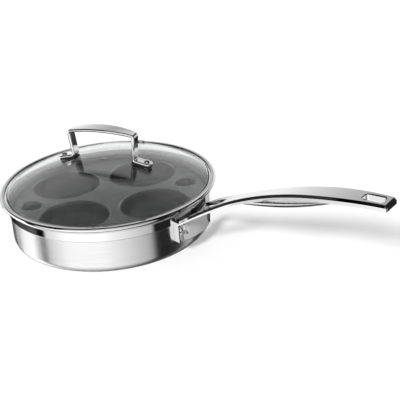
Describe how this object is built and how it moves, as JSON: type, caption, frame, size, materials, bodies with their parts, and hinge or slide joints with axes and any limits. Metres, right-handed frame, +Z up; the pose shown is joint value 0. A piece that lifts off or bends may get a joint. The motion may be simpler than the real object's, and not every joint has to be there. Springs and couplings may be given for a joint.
{
  "type": "egg poacher pan",
  "caption": "Shallow clad steel pan with a forked cast handle, a lift-out non-stick egg tray with round wells, and a domed glass lid with a steel rim and an arched handle.",
  "frame": {"origin": "centre of the pan's base, on the hob", "axes": "+Z up from the hob, +X from the pan's axis along its handle"},
  "size_m": [0.4196, 0.2172, 0.1098],
  "materials": {
    "pan_outer_steel": "brushed lower wall, polished band above the step",
    "pan_core_aluminium": "plain, shows only at the lip's edge",
    "pan_inner_steel": "finely brushed",
    "pan_handle_steel": "satin polished casting",
    "rivet_steel": "polished stainless steel",
    "tray_coating": "dark grey satin non-stick coating",
    "lid_glass": "clear tempered glass",
    "rim_band_steel": "polished stainless strip",
    "lid_handle_steel": "satin top, polished sides",
    "screw_steel": "polished stainless steel",
    "seal_rubber": "matt black silicone",
    "nut_steel": "bright stainless steel",
    "vent_steel": "bright stainless steel"
  },
  "bodies": {
    "pan": {"pan_outer_ply": "pan_outer_steel", "pan_core_ply": "pan_core_aluminium", "pan_inner_ply": "pan_inner_steel", "pan_handle": "pan_handle_steel", "handle_rivets": "rivet_steel"},
    "tray": {"egg_tray": "tray_coating"},
    "lid": {"lid_glass": "lid_glass", "lid_rim_band": "rim_band_steel", "lid_handle": "lid_handle_steel", "lid_handle_screws": "screw_steel", "lid_foot_seals": "seal_rubber", "lid_inner_seals": "seal_rubber", "lid_inner_washers": "nut_steel", "lid_handle_nuts": "nut_steel", "steam_vent_eyelet": "vent_steel", "steam_vent_ring": "vent_steel"}
  },
  "joints": [
    {"name": "tray_lift", "type": "slide", "parent": "pan", "child": "tray", "axis": [0, 0, 1], "range_m": [0, 0.06]},
    {"name": "lid_lift", "type": "slide", "parent": "tray", "child": "lid", "axis": [0, 0, 1], "range_m": [0, 0.08]}
  ]
}
